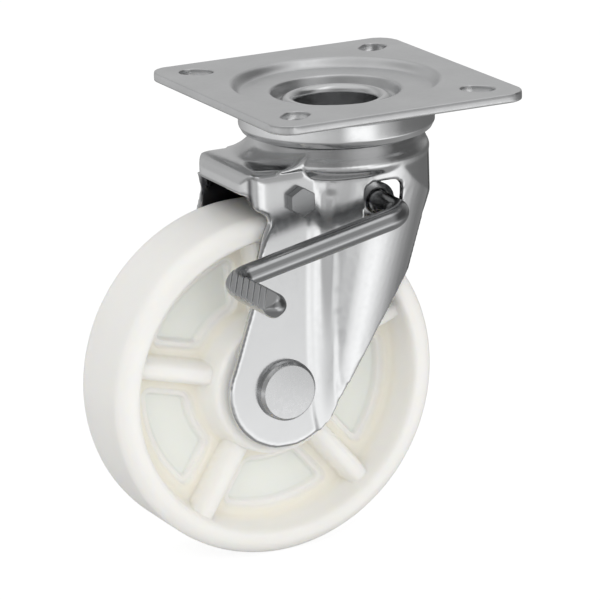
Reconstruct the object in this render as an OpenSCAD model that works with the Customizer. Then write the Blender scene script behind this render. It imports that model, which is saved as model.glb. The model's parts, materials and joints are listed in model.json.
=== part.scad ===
// Braked swivel castor: plate mounting, double ball swivel head, pressed fork,
// moulded wheel on ball bearings and a side rod brake.
// Millimetres. The origin is the centre of the plate's top face, +Z is up,
// the wheel trails towards -X and the brake rod comes out on the -Y side.

/* [Mounting plate] */
// Plate size along the rolling direction
plate_x = 118; // [110:1:130]
// Plate size along the axle
plate_y = 130; // [120:1:145]
// Thickness of the plate's sheet
plate_t = 4; // [3:0.1:4.6]
// Radius of the plate's corners
plate_corner_r = 10; // [6:0.5:14]
// Distance between slot centres along X
slot_pitch_x = 86; // [82:1:90]
// Distance between slot centres along Y
slot_pitch_y = 96; // [90:1:102]
// Width of a mounting slot
slot_w = 11; // [9:0.5:12]
// Length of a mounting slot, end to end along the diagonal
slot_len = 15; // [13:0.5:17]
// Outer radius of the pressed dish
dish_r = 46; // [45:0.5:48]
// Depth of the dish
dish_drop = 4; // [3:0.25:5]
// Radius of the well round the kingpin's lip
well_r = 28.5; // [28:0.25:29.5]
// Depth of the well below the dish
well_drop = 5.5; // [4.5:0.25:6]

/* [Swivel head] */
// Outer radius of the hollow kingpin's tube
kingpin_r = 20.4; // [19.5:0.1:21]
// Radius of the kingpin's bore
kingpin_bore_r = 17.8; // [16:0.1:18.2]
// Radius of the lip rolled over the plate
lip_r = 24.2; // [23.5:0.1:25]
// Outer radius of the upper race ring
race_r = 42.2; // [41.5:0.1:43.5]
// Height of the upper race ring
race_h = 12.5; // [11:0.25:13.5]
// Sheet thickness of the upper race ring
race_t = 2.6; // [2.4:0.1:3]
// Ball diameter of the upper row
upper_ball_d = 7.9; // [7:0.1:8.2]
// Pitch radius of the upper row
upper_row_r = 30.5; // [30:0.1:31]
// Number of balls in the upper row
upper_ball_n = 22; // [12:1:22]
// Ball diameter of the lower row
lower_ball_d = 6.3; // [5.6:0.1:6.6]
// Pitch radius of the lower row
lower_row_r = 27; // [26.8:0.1:27.4]
// Number of balls in the lower row
lower_ball_n = 24; // [12:1:24]

/* [Fork] */
// Sheet thickness of the fork
fork_t = 3.2; // [2.6:0.1:3.6]
// Radius of the round crown
crown_r = 39.5; // [39:0.1:40.2]
// Distance between the outer faces of the two legs
fork_w = 53; // [52:0.5:56]
// Trail, the distance from the swivel axis back to the axle
trail = 41.5; // [38:0.5:45]
// Radius of the leg's round end
leg_end_r = 26; // [23:0.5:28]
// Distance from the swivel axis to the front face of the apron
apron_x = 56.5; // [54:0.5:58]
// Height of the apron's rounded shoulder
apron_r = 7; // [6:0.5:9]
// Largest radius of the flank, just below the crown
flank_r = 36.9; // [36:0.1:38]
// Width of the gap between the flanks' leading edges
nose_gap = 44; // [40:1:46]
// Width of the brake rod's window
window_w = 17.4; // [16.4:0.2:18.4]
// Height of the brake rod's window
window_h = 19; // [17:0.5:20]

/* [Wheel] */
// Outer diameter of the wheel
wheel_d = 150; // [140:1:160]
// Width of the wheel's rim
wheel_w = 43; // [38:0.5:43.5]
// Distance from the plate's top face down to the top of the wheel
tread_gap = 49.5; // [48:0.5:54]
// Radius of the tread's rounded shoulder
tread_r = 6.5; // [4:0.5:8]
// Thickness of the rim, from the tread to its inner lip
rim_t = 10.2; // [9:0.2:12]
// Radius of the hub boss
hub_r = 30; // [27:0.5:32]
// Thickness of the web's frame
web_t = 12; // [8:0.5:14]
// Thickness of the thin pane in each pocket
pane_t = 3.2; // [2.4:0.2:4.4]
// Width of a rib
rib_w = 10; // [8:0.5:12]
// Height of a rib's crest above the wheel's middle plane
rib_top = 16; // [14:0.5:18]
// Number of ribs on each side
rib_n = 5; // [4:1:6]

/* [Axle and bearings] */
// Diameter of the axle bolt
axle_d = 12; // [10:0.5:12.5]
// Diameter of the axle bolt's round head
axle_head_d = 26.5; // [24:0.5:29]
// Height of the axle bolt's round head
axle_head_h = 4.4; // [3:0.2:5.5]
// Outer diameter of a ball bearing
bearing_od = 35; // [34:0.5:37]
// Bore of a ball bearing
bearing_id = 15; // [14.6:0.1:15.4]
// Width of a ball bearing
bearing_w = 11; // [10:0.5:12]
// Diameter of a bearing's balls
bearing_ball_d = 5.9; // [5.4:0.1:6]
// Number of balls in a bearing
bearing_ball_n = 8; // [6:1:9]

/* [Brake] */
// Diameter of the brake rod
rod_d = 9.5; // [9:0.25:10]
// Length of the lever's arm, from its pivot to its tread bar
arm_len = 84.6; // [78:0.2:90]
// Slope of the arm below the horizontal
arm_slope = 11.8; // [9:0.2:14]
// Inner bend radius of the rod
rod_bend = 4; // [3:0.5:6]
// Length of the serrated tread bar
tread_bar_len = 41.2; // [36:0.4:46]
// Number of serrations on the tread bar
serration_n = 7; // [5:1:8]
// Travel of the lever from released to locked
lever_travel = 30; // [24:1:32]
// Diameter of the brake pivot bolt
pivot_d = 6; // [5:0.25:6.5]
// Width across the flats of the pivot bolt's head
pivot_af = 10.8; // [10:0.2:11.4]
// Thickness of the brake shoe
shoe_t = 3; // [2.4:0.1:3.2]
// Width of the brake shoe
shoe_w = 29; // [24:0.5:31]
// Sheet thickness of the brake bracket
bracket_t = 2; // [1.5:0.1:2.2]

/* [Hidden] */
$fn = 96;

steel = [0.72, 0.73, 0.74];
bright = [0.84, 0.85, 0.86];
ivory = [0.95, 0.94, 0.90];
spring_steel = [0.45, 0.46, 0.48];

// Radial clearance of a pin or shaft that turns in its hole
run_clear = 0.05;
// Radial clearance of a piece seated in its hole
seat_clear = 0.02;
// Gap between a ball and its race
ball_clear = 0.15;
// Overlap that keeps a cut clear of the face it starts from
cut = 1;

// Heights of the swivel head, from the top down
dish_floor = -dish_drop;
dish_under = dish_floor - plate_t;
well_floor = dish_floor - well_drop;
race_groove = 1;
upper_ball_clear_r = upper_ball_d / 2 + ball_clear;
upper_row_z = dish_under - race_t + race_groove - upper_ball_clear_r;
crown_groove = 0.8;
crown_top = upper_row_z - upper_ball_clear_r + crown_groove;
crown_t = fork_t + 0.2;
crown_under = crown_top - crown_t;
lower_ball_clear_r = lower_ball_d / 2 + ball_clear;
lower_row_z = crown_under + crown_groove - lower_ball_clear_r;
flange_groove = 1;
flange_top = lower_row_z - lower_ball_clear_r + flange_groove;
flange_t = 3.2;
flange_r = lower_row_r + 4.5;
crown_hole_r = kingpin_r + 1.4;

// Wheel and axle position
wheel_r = wheel_d / 2;
axle_x = -trail;
axle_z = -(tread_gap + wheel_r);
leg_out = fork_w / 2;
leg_in = leg_out - fork_t;

// Fork outline
crown_round = 7;
// Lean of the crown's wall, from its foot up to its shoulder
crown_lean = 1.8;
shoulder_r = crown_r - crown_lean - crown_round;
crown_mid = crown_top - crown_round;
crown_foot_r = 5;
crown_foot = crown_top - 17;
block_top = crown_top - 11.5;
lip_bottom = block_top - 10.2;
lobe_drop = 9;
// Fillet between the crown and the apron's top
flare_r = 12.05;
flare_x = crown_r + 8.5;
flare_dip = 0.3;
flank_top_x = 4.1;
flank_top_z = crown_top - 23;
flank_end_x = axle_x + 26.2;
flank_end_z = axle_z - 15.5;
flank_end_r = leg_out + 0.9;
flank_slope = (flank_top_x - flank_end_x) / (flank_top_z - flank_end_z);
flank_tilt = atan(flank_slope);
flank_taper = (flank_r - flank_end_r) / (flank_top_z - flank_end_z);
flank_rise = 19;
// Step between the crown's wall and the flank below it
flank_inset = 0.3;
block_end = axle_x + 29.5;
nose_top = crown_top - 33;
nose_round = 8;

// Brake geometry round the wheel
pivot_gap = 7.5;
pivot_angle = 83.3;
pivot_x = axle_x + (wheel_r + pivot_gap) * cos(pivot_angle);
pivot_z = axle_z + (wheel_r + pivot_gap) * sin(pivot_angle);
rod_gap = 14.5;
rod_angle = 57.2;
rod_x = axle_x + (wheel_r + rod_gap) * cos(rod_angle);
rod_z = axle_z + (wheel_r + rod_gap) * sin(rod_angle);
rod_r = rod_d / 2;
bend_r = rod_bend + rod_r;
arm_gap = 6.35;
arm_y = -(flank_r + arm_gap + rod_r);
window_x = rod_x - 3.3;
window_z = rod_z + 2.8;
bracket_out = leg_in;
bracket_in = leg_in - bracket_t;
pivot_boss_r = 5.2;
cam_flat = rod_r - 2;
cam_gap = 0.3;
cam_half = shoe_w / 2 + 1.5;
// Lift of the rod's flat when it is turned, and the shoe's turn that follows it
cam_lift = rod_r * cos(acos(cam_flat / rod_r) - lever_travel) - cam_flat;
shoe_arm = norm([rod_x - pivot_x, rod_z - pivot_z]);
shoe_turn = cam_lift / shoe_arm * 180 / PI;
// Gap left between the shoe and the tread when the brake is on
shoe_gap = 0.2;
shoe_face_r = wheel_r + shoe_gap;
// Centre of the shoe's curved face while the brake is off
shoe_cx = pivot_x + (axle_x - pivot_x) * cos(shoe_turn) - (axle_z - pivot_z) * sin(shoe_turn);
shoe_cz = pivot_z + (axle_x - pivot_x) * sin(shoe_turn) + (axle_z - pivot_z) * cos(shoe_turn);
shoe_from = 52;
shoe_to = 75;

// Bearing stack
hub_half = wheel_w / 2 - 0.5;
bearing_face = hub_half - 1;
bearing_mid = bearing_face - bearing_w / 2;
bearing_ro = bearing_od / 2;
bearing_ri = bearing_id / 2;
bearing_row_r = (bearing_ro + bearing_ri) / 2;
bearing_wall = (bearing_ro - bearing_ri) * 0.3;
bearing_groove_r = bearing_ball_d / 2 + ball_clear;
shield_t = 0.6;
axle_r = axle_d / 2;
sleeve_in_r = axle_r + seat_clear;
washer_t = 2;
washer_r = axle_r + 6;
axle_nut_h = 9;
axle_nut_af = 19;

// Points of a smooth step in a revolved profile, from [r0, z0] to [r1, z1]
function step_points(r0, z0, r1, z1, n = 8) =
    [for (i = [0:n]) [r0 + (r1 - r0) * i / n, z0 + (z1 - z0) * (1 - cos(180 * i / n)) / 2]];

// Points of a circular arc from angle a0 to angle a1
function arc_points(cx, cy, r, a0, a1, n = 8) =
    [for (i = [0:n]) [cx + r * cos(a0 + (a1 - a0) * i / n), cy + r * sin(a0 + (a1 - a0) * i / n)]];

// Extrudes a shape drawn in X and Z along Y, from y0 to y1
module along_y(y0, y1) {
    translate([0, y1, 0]) rotate([90, 0, 0]) linear_extrude(y1 - y0) children();
}

// Cylinder along Y from y0 to y1 at [x, z]
module rod_y(x, z, r, y0, y1) {
    translate([x, y1, z]) rotate([90, 0, 0]) cylinder(h = y1 - y0, r = r);
}

// Puts a revolved shape, drawn along Z, on the axle with its Z along +Y
module on_axle() {
    translate([axle_x, 0, axle_z]) rotate([-90, 0, 0]) children();
}

// Ring of n balls round the Z axis
module ball_row(n, d, row_r, z) {
    for (i = [0:n - 1]) rotate([0, 0, 360 * i / n]) translate([row_r, 0, z]) sphere(d = d, $fn = 32);
}

// Square plate with rounded corners and four diagonal slots
module plate_blank() {
    cx = plate_x / 2 - plate_corner_r;
    cy = plate_y / 2 - plate_corner_r;
    difference() {
        translate([0, 0, -plate_t]) union() {
            translate([-cx, -plate_y / 2, 0]) cube([2 * cx, plate_y, plate_t]);
            translate([-plate_x / 2, -cy, 0]) cube([plate_x, 2 * cy, plate_t]);
            for (sx = [-1, 1], sy = [-1, 1]) {
                translate([sx * cx, sy * cy, 0]) cylinder(h = plate_t, r = plate_corner_r);
            }
        }
        for (sx = [-1, 1], sy = [-1, 1]) {
            translate([sx * slot_pitch_x / 2, sy * slot_pitch_y / 2, 0])
                rotate([0, 0, sx * sy * 45]) slot_cutter();
        }
        translate([0, 0, -plate_t - cut]) cylinder(h = plate_t + 2 * cut, r = dish_r);
    }
}

// Cutter for one slot, long along X
module slot_cutter() {
    reach = (slot_len - slot_w) / 2;
    translate([0, 0, -plate_t - cut]) {
        for (s = [-1, 1]) {
            translate([s * reach, 0, 0]) cylinder(h = plate_t + 2 * cut, d = slot_w, $fn = 48);
        }
        translate([-reach, -slot_w / 2, 0]) cube([2 * reach, slot_w, plate_t + 2 * cut]);
    }
}

// Plate with its pressed dish and well, one sheet throughout
module mounting_plate() {
    hole_r = kingpin_r + seat_clear;
    dish_in = dish_r - 5;
    well_in = well_r - 2.5;
    top = concat([[dish_r, 0]], step_points(dish_r - 0.5, 0, dish_in, dish_floor),
        step_points(well_r, dish_floor, well_in, well_floor), [[hole_r, well_floor]]);
    color(steel) {
        plate_blank();
        rotate_extrude() polygon(concat(top, [for (i = [len(top) - 1:-1:0]) top[i] - [0, plate_t]]));
    }
}

// Hardened ring under the plate: downward groove for the balls and a skirt round the gap
module upper_race() {
    in_r = well_r + 0.3;
    foot = dish_under - race_h;
    corner = 3;
    outer = concat([[in_r, dish_under]],
        arc_points(race_r - corner, dish_under - corner, corner, 90, 0),
        [[race_r, foot + 3.5]], arc_points(race_r - 3, foot + 3, 3, 0, -50, 5));
    foot_r = race_r - 3 + 3 * cos(50);
    inner = [[foot_r - 1.4, foot + 0.7], [race_r - race_t, foot + 4.6],
        [race_r - race_t, dish_under - race_t - 1.5],
        [race_r - race_t - 1.5, dish_under - race_t], [in_r, dish_under - race_t]];
    color(bright) rotate_extrude() difference() {
        polygon(concat(outer, inner));
        translate([upper_row_r, upper_row_z]) circle(r = upper_ball_clear_r, $fn = 48);
    }
}

// Hollow kingpin: rolled lip above, tube, and the lower race flange below
module hollow_kingpin() {
    flange_under = flange_top - flange_t;
    curl_r = (lip_r - kingpin_bore_r) / 2;
    curl_mid = kingpin_bore_r + curl_r;
    color(bright) rotate_extrude() difference() {
        union() {
            translate([kingpin_bore_r, flange_under])
                square([kingpin_r - kingpin_bore_r, well_floor - flange_under]);
            translate([kingpin_bore_r + 1, flange_under])
                square([kingpin_r - kingpin_bore_r - 1, well_floor + 1 - flange_under]);
            intersection() {
                translate([curl_mid, well_floor]) circle(r = curl_r, $fn = 64);
                translate([kingpin_bore_r - cut, well_floor]) square([2 * curl_r + 2 * cut, curl_r + cut]);
            }
            translate([kingpin_bore_r, flange_under]) square([flange_r - 1 - kingpin_bore_r, flange_t]);
            translate([flange_r - 1, flange_under]) square([1, flange_t - 1]);
            translate([flange_r - 1, flange_top - 1]) circle(r = 1, $fn = 32);
        }
        translate([lower_row_r, lower_row_z]) circle(r = lower_ball_clear_r, $fn = 48);
    }
}

module upper_balls() {
    color(bright) ball_row(upper_ball_n, upper_ball_d, upper_row_r, upper_row_z);
}

module lower_balls() {
    color(bright) ball_row(lower_ball_n, lower_ball_d, lower_row_r, lower_row_z);
}

// Outline of the crown dome in radius and height, set in by the sheet s
module crown_profile(s, top) {
    round_r = crown_round - s;
    foot_r = crown_foot_r - s;
    r = crown_r - s;
    foot = crown_foot + s;
    polygon([[0, foot + foot_r], [r, foot + foot_r], [r - crown_lean, crown_mid], [0, crown_mid]]);
    translate([0, crown_mid]) square([shoulder_r, top - crown_mid]);
    intersection() {
        translate([shoulder_r, crown_mid]) circle(r = round_r);
        translate([0, crown_mid]) square([crown_r + cut, top - crown_mid]);
    }
    translate([0, foot]) square([r - foot_r, foot_r]);
    translate([r - foot_r, foot + foot_r]) circle(r = foot_r);
}

// Round crown, solid, set in by the sheet s
module crown(s) {
    rotate_extrude() crown_profile(s, s == 0 ? crown_top : crown_under);
}

// Side view of the apron, set in by the sheet s
module apron_view(s) {
    mid_x = -apron_x + apron_r;
    mid_z = block_top - apron_r;
    translate([mid_x, mid_z]) circle(r = apron_r - s);
    translate([mid_x, mid_z]) square([block_end - mid_x, apron_r - s]);
    translate([-apron_x + s, lip_bottom - cut]) square([block_end + apron_x - s, mid_z - lip_bottom + cut]);
}

// Side view that trims the whole fork: apron, leg and the sloping leading edge
module fork_view() {
    lobe = apron_x - 2.7;
    left_tangent = 168;
    right_tangent = -40;
    right_r = leg_end_r - 0.1;
    translate([-apron_x - cut, lip_bottom])
        square([apron_x + crown_r + 2 * cut, crown_top + cut - lip_bottom]);
    translate([axle_x, axle_z]) circle(r = leg_end_r);
    polygon([[-lobe, lip_bottom + cut], [-lobe, lip_bottom], [1.2 - lobe, lip_bottom - 4.9],
        [2.4 - lobe, lip_bottom - 6.4], [4.5 - lobe, lip_bottom - 7.5], [6.7 - lobe, lip_bottom - 9.2],
        [7.5 - lobe, lip_bottom - 11.2], [6.9 - lobe, lip_bottom - 13.4], [5 - lobe, lip_bottom - 17],
        [2.3 - lobe, lip_bottom - 26], [-0.7 - lobe, lip_bottom - 44.8],
        [axle_x + leg_end_r * cos(left_tangent), axle_z + leg_end_r * sin(left_tangent)],
        [axle_x, axle_z],
        [axle_x + right_r * cos(right_tangent), axle_z + right_r * sin(right_tangent)],
        [axle_x + 45, axle_z + 22.5], [axle_x + 57, axle_z + 37.5],
        [crown_r - 18, crown_top - 64], [crown_r - 8.5, crown_top - 52],
        [crown_r - 3, crown_top - 41], [crown_r + cut, crown_top - 28],
        [crown_r + cut, lip_bottom + cut]]);
}

// Walls of the apron and the two legs, solid, set in by the sheet s
module fork_block(s) {
    half = leg_out - s;
    edge_r = 5 - s;
    intersection() {
        union() {
            along_y(-half, half) apron_view(s);
            along_y(-half, half)
                translate([-apron_x - leg_end_r, axle_z - leg_end_r - cut])
                    square([block_end + apron_x + leg_end_r, lip_bottom - axle_z + leg_end_r + cut]);
        }
        translate([-apron_x - leg_end_r - cut, 0, 0]) rotate([90, 0, 90])
            linear_extrude(block_end + apron_x + leg_end_r + 2 * cut) {
                translate([-half, axle_z - leg_end_r - 2 * cut])
                    square([2 * half, block_top - s - edge_r - axle_z + leg_end_r + 2 * cut]);
                translate([-half + edge_r, block_top - s - edge_r]) square([2 * (half - edge_r), edge_r]);
                for (side = [-1, 1]) {
                    translate([side * (half - edge_r), block_top - s - edge_r]) circle(r = edge_r, $fn = 48);
                }
            }
        front_plan(s);
    }
}

// Plan view of the block with its front corners rounded, set in by the sheet s
module front_plan(s) {
    corner = 9 - s;
    half = leg_out - s;
    x0 = -apron_x + s;
    translate([0, 0, lip_bottom - lobe_drop - cut])
        linear_extrude(block_top - lip_bottom + lobe_drop + 2 * cut) {
            translate([x0 + corner, -half]) square([block_end - x0 - corner + cut, 2 * half]);
            translate([x0, -half + corner]) square([corner, 2 * (half - corner)]);
            for (side = [-1, 1]) {
                translate([x0 + corner, side * (half - corner)]) circle(r = corner, $fn = 48);
            }
        }
    translate([-apron_x - leg_end_r - cut, -half, axle_z - leg_end_r - 2 * cut])
        cube([block_end + apron_x + leg_end_r + 2 * cut, 2 * half,
            lip_bottom - lobe_drop - axle_z + leg_end_r + 2 * cut]);
}

// Bulging flanks: a leaning cone that narrows down to the legs, set in by the sheet s
module flank(s) {
    top_z = flank_top_z + flank_rise;
    top_x = flank_top_x + flank_rise * flank_slope;
    top_r = flank_r + flank_rise * flank_taper - s;
    end_r = flank_end_r - 1 - s;
    drop = top_z - flank_end_z + 12;
    intersection() {
        translate([top_x, 0, top_z]) rotate([0, 180 + flank_tilt, 0])
            cylinder(h = drop / cos(flank_tilt), r1 = top_r, r2 = end_r);
        translate([0, 0, flank_end_z - 20])
            cylinder(h = crown_foot + 4.5 - flank_end_z + 20, r = crown_r - flank_inset - s);
    }
}

// Fillet that runs from the crown's wall out to the apron's top, set in by the sheet s
module flare(s) {
    low = block_top - s - 1;
    high = crown_mid + crown_round * 0.45 - s * 0.53;
    half = leg_out - s;
    intersection() {
        rotate_extrude() difference() {
            translate([shoulder_r - s, low]) square([flare_x - shoulder_r + s, high - low]);
            translate([flare_x, block_top + flare_r - flare_dip]) circle(r = flare_r + s, $fn = 180);
        }
        translate([-apron_x, -half, low - cut]) cube([apron_x - 20, 2 * half, high - low + 2 * cut]);
    }
}

// X of the line where a leg's outer face meets the flank, at height z
function join_x(z) = flank_top_x + (z - flank_top_z) * flank_slope
    - sqrt((flank_r + (z - flank_top_z) * flank_taper) ^ 2 - leg_out ^ 2);

// Flat strip that eases the valley between leg and flank, set in by the sheet s
module valley(s) {
    turn = 19;
    rise = 1;
    width = 9;
    upper = [join_x(flank_top_z - 6), flank_top_z - 6];
    lower = [join_x(axle_z), axle_z];
    lean = atan((upper[0] - lower[0]) / (upper[1] - lower[1]));
    middle = (upper + lower) / 2;
    top = crown_foot + 3 - middle[1];
    bottom = flank_end_z - 10 - middle[1];
    for (side = [-1, 1]) {
        translate([middle[0], side * leg_out, middle[1]]) rotate([0, lean, 0]) rotate([0, 0, side * turn])
            translate([-width / 2, side < 0 ? s - rise : rise - s - 2, bottom])
                cube([width, 2, top - bottom]);
    }
}

// Points of a rectangle with round corners, from its low corner [x0, y0] to [x1, y1]
function round_rect(x0, y0, x1, y1, r) = concat(
    arc_points(x1 - r, y0 + r, r, -90, 0, 6), arc_points(x1 - r, y1 - r, r, 0, 90, 6),
    arc_points(x0 + r, y1 - r, r, 90, 180, 6), arc_points(x0 + r, y0 + r, r, 180, 270, 6));

// Gap between the flanks' leading edges, open below
module nose_opening() {
    half = nose_gap / 2;
    rotate([90, 0, 90]) linear_extrude(crown_r + cut)
        polygon(round_rect(-half, flank_end_z, half, nose_top, nose_round));
}

// Rounded window in both flanks for the brake rod
module rod_window() {
    along_y(-crown_r - cut, crown_r + cut)
        polygon(round_rect(window_x - window_w / 2, window_z - window_h / 2,
            window_x + window_w / 2, window_z + window_h / 2, 5));
}

// Crown, apron, legs and flanks as one solid, set in by the sheet s
module fork_solid(s) {
    crown(s);
    fork_block(s);
    flare(s);
    flank(s);
    valley(s);
}

// One-piece pressed fork: round crown with both races, apron, flanks and legs
module fork() {
    color(steel) difference() {
        intersection() {
            difference() {
                union() fork_solid(0);
                union() fork_solid(fork_t);
            }
            along_y(-crown_r - cut, crown_r + cut) fork_view();
        }
        nose_opening();
        rod_window();
        rotate_extrude() {
            translate([0, crown_under - cut]) square([crown_hole_r, crown_t + 2 * cut]);
            translate([upper_row_r, upper_row_z]) circle(r = upper_ball_clear_r, $fn = 48);
            translate([lower_row_r, lower_row_z]) circle(r = lower_ball_clear_r, $fn = 48);
        }
        rod_y(axle_x, axle_z, axle_r + seat_clear, -leg_out - cut, leg_out + cut);
        rod_y(pivot_x, pivot_z, pivot_d / 2 + seat_clear, -leg_out - cut, leg_out + cut);
    }
}

// Side view of the brake bracket's ears
module bracket_view() {
    rod_boss = rod_r + 3.4;
    pivot_boss = pivot_boss_r;
    bridge = pivot_z + 8;
    translate([pivot_x, pivot_z]) circle(r = pivot_boss);
    translate([rod_x, rod_z]) circle(r = rod_boss);
    rod_in = rod_boss - 0.2;
    pivot_in = pivot_boss - 0.1;
    polygon([[pivot_x - pivot_in, pivot_z], [pivot_x - pivot_boss + 2, bridge], [rod_x - rod_boss, bridge],
        [rod_x + rod_in * cos(60), rod_z + rod_in * sin(60)], [rod_x, rod_z],
        [rod_x + rod_in * cos(238), rod_z + rod_in * sin(238)],
        [pivot_x + pivot_in * cos(255), pivot_z + pivot_in * sin(255)]]);
}

// Folded bracket inside the fork: two ears that carry the rod, joined by a bridge
module brake_bracket() {
    bridge = pivot_z + 8;
    color(steel) difference() {
        union() {
            along_y(-bracket_out, -bracket_in) bracket_view();
            along_y(bracket_in, bracket_out) bracket_view();
            translate([pivot_x - pivot_boss_r + 2, -bracket_out, bridge - bracket_t])
                cube([rod_x - pivot_x - rod_r - 6, 2 * bracket_out, bracket_t]);
        }
        rod_y(rod_x, rod_z, rod_r + run_clear, -leg_out, leg_out);
        rod_y(pivot_x, pivot_z, pivot_d / 2 + seat_clear, -leg_out, leg_out);
    }
}

// Quarter bend of the rod, from [0, 0] heading -Y round to heading -X
module rod_quarter() {
    translate([-bend_r, 0, 0]) rotate([0, 0, -90]) rotate_extrude(angle = 90)
        translate([bend_r, 0]) circle(r = rod_r, $fn = 48);
}

// One rod bent to a lever: cross shaft with a flat, sloping arm, serrated tread bar
module brake_lever() {
    bar_r = rod_r + 0.5;
    bar_flat = 3.2;
    flat_turn = 28;
    groove_skew = 50;
    pitch = 5.3;
    turn = arm_y + bend_r;
    clip_y = leg_in + 1.2;
    color(steel) translate([rod_x, 0, rod_z]) difference() {
        rotate([0, -arm_slope, 0]) union() {
            rotate([-90, 0, 0]) translate([0, 0, turn]) cylinder(h = clip_y + 3.4 - turn, r = rod_r);
            translate([0, turn, 0]) rod_quarter();
            translate([-bend_r, arm_y, 0]) rotate([0, -90, 0]) cylinder(h = arm_len - 2 * bend_r, r = rod_r);
            translate([-arm_len, arm_y - bend_r, 0]) rotate([0, 0, 180]) rod_quarter();
            difference() {
                union() {
                    translate([-arm_len, arm_y - bend_r, 0]) rotate([90, 0, 0])
                        cylinder(h = tread_bar_len - bend_r, r = rod_r);
                    translate([-arm_len, arm_y - bend_r - 3, 0]) rotate([90, 0, 0])
                        cylinder(h = tread_bar_len - bend_r - 3, r = bar_r);
                    translate([-arm_len, arm_y - tread_bar_len, 0]) sphere(r = bar_r, $fn = 48);
                }
                translate([-arm_len, arm_y, 0]) rotate([0, -flat_turn, 0]) {
                    translate([-bar_r - cut, -tread_bar_len - bar_r - cut, bar_flat])
                        cube([2 * bar_r + 2 * cut, tread_bar_len + bar_r + cut + 3, bar_r]);
                    for (i = [0:serration_n - 1]) {
                        translate([0, -6 - pitch * i, bar_flat])
                            rotate([0, 0, groove_skew]) rotate([45, 0, 0])
                                cube([3 * bar_r, 1.1, 1.1], center = true);
                    }
                }
            }
        }
        // Flat that faces the brake shoe
        rotate([0, -rod_angle, 0]) translate([-rod_r - cut, -cam_half, -rod_r - cut])
            cube([rod_r + cut - cam_flat, 2 * cam_half, 2 * (rod_r + cut)]);
        // Groove for the retaining clip
        rotate([-90, 0, 0]) translate([0, 0, clip_y]) rotate_extrude()
            translate([rod_r - 0.8, 0]) square([2, 1.1]);
    }
}

// Open clip in the groove at the shaft's far end
module lever_clip() {
    clip_y = leg_in + 1.2;
    color(spring_steel) translate([rod_x, clip_y + 0.1, rod_z]) rotate([-90, 0, 0]) difference() {
        cylinder(h = 0.9, r = rod_r + 2.4);
        translate([0, 0, -cut]) cylinder(h = 0.9 + 2 * cut, r = rod_r - 0.8 + run_clear);
        translate([-2.4, 0, -cut]) cube([4.8, rod_r + 4, 0.9 + 2 * cut]);
    }
}

// Side view of the shoe's ears, from the pivot to the curved plate
module shoe_ear_view() {
    outer = shoe_face_r + shoe_t;
    inner = shoe_face_r - 1;
    mid = (shoe_from + shoe_to) / 2 + 3;
    translate([pivot_x, pivot_z]) circle(r = pivot_boss_r);
    difference() {
        polygon([[pivot_x + pivot_boss_r * cos(100), pivot_z + pivot_boss_r * sin(100)],
            [shoe_cx + (outer + 3) * cos(mid), shoe_cz + (outer + 3) * sin(mid)],
            [shoe_cx + (outer + 0.5) * cos(shoe_from + 8), shoe_cz + (outer + 0.5) * sin(shoe_from + 8)],
            [shoe_cx + inner * cos(shoe_from + 8), shoe_cz + inner * sin(shoe_from + 8)],
            [shoe_cx + (inner - 1) * cos(mid), shoe_cz + (inner - 1) * sin(mid)],
            [pivot_x, pivot_z]]);
        translate([shoe_cx, shoe_cz]) circle(r = shoe_face_r, $fn = 180);
    }
}

// Curved shoe that the rod's flat presses on the tread
module brake_shoe() {
    outer = shoe_face_r + shoe_t;
    ear_t = 2.2;
    half = shoe_w / 2;
    seat = wheel_r + rod_gap - cam_flat - cam_gap;
    pad_half = half - ear_t - 0.6;
    pad_low = wheel_r + shoe_t - 0.4;
    color(steel) difference() {
        union() {
            along_y(-half, half) intersection() {
                difference() {
                    translate([shoe_cx, shoe_cz]) circle(r = outer, $fn = 180);
                    translate([shoe_cx, shoe_cz]) circle(r = shoe_face_r, $fn = 180);
                }
                polygon([[shoe_cx, shoe_cz],
                    [shoe_cx + 2 * outer * cos(shoe_from), shoe_cz + 2 * outer * sin(shoe_from)],
                    [shoe_cx + 2 * outer * cos(shoe_to), shoe_cz + 2 * outer * sin(shoe_to)]]);
            }
            along_y(-half, -half + ear_t) shoe_ear_view();
            along_y(half - ear_t, half) shoe_ear_view();
            // Raised pad under the rod
            translate([axle_x, -pad_half, axle_z]) rotate([0, -rod_angle, 0])
                translate([pad_low, 0, -3.5]) cube([seat - pad_low, 2 * pad_half, 7]);
        }
        rod_y(pivot_x, pivot_z, pivot_d / 2 + run_clear, -half - cut, half + cut);
    }
}

// Closed tube swept along a helix round the pivot bolt, with one leg under the bracket
module shoe_spring() {
    wire_r = 0.5;
    coil_r = pivot_d / 2 + 0.35 + wire_r;
    turns = 5;
    pitch = 1.25;
    per_turn = 16;
    sides = 8;
    start = -turns * pitch / 2;
    leg = 9;
    helix = [for (i = [0:turns * per_turn])
        let (a = 90 + 360 * i / per_turn) [coil_r * cos(a), start + pitch * i / per_turn, coil_r * sin(a)]];
    path = concat([helix[0] + [leg, 0, 0]], helix, [helix[len(helix) - 1] + [-1.5, 0, 0]]);
    last = len(path) - 1;
    dirs = [for (i = [0:last]) let (d = path[min(i + 1, last)] - path[max(i - 1, 0)]) d / norm(d)];
    points = [for (i = [0:last], k = [0:sides - 1])
        let (side = [0, 1, 0], u = side - dirs[i] * (side * dirs[i]), e = u / norm(u),
            f = cross(dirs[i], e), a = 360 * k / sides)
        path[i] + wire_r * (e * cos(a) + f * sin(a))];
    faces = concat([[for (k = [0:sides - 1]) k]],
        [for (i = [0:last - 1], k = [0:sides - 1]) let (n = (k + 1) % sides)
            [i * sides + k, (i + 1) * sides + k, (i + 1) * sides + n, i * sides + n]],
        [[for (k = [sides - 1:-1:0]) last * sides + k]]);
    color(spring_steel) translate([pivot_x, 0, pivot_z]) polyhedron(points = points, faces = faces);
}

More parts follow.
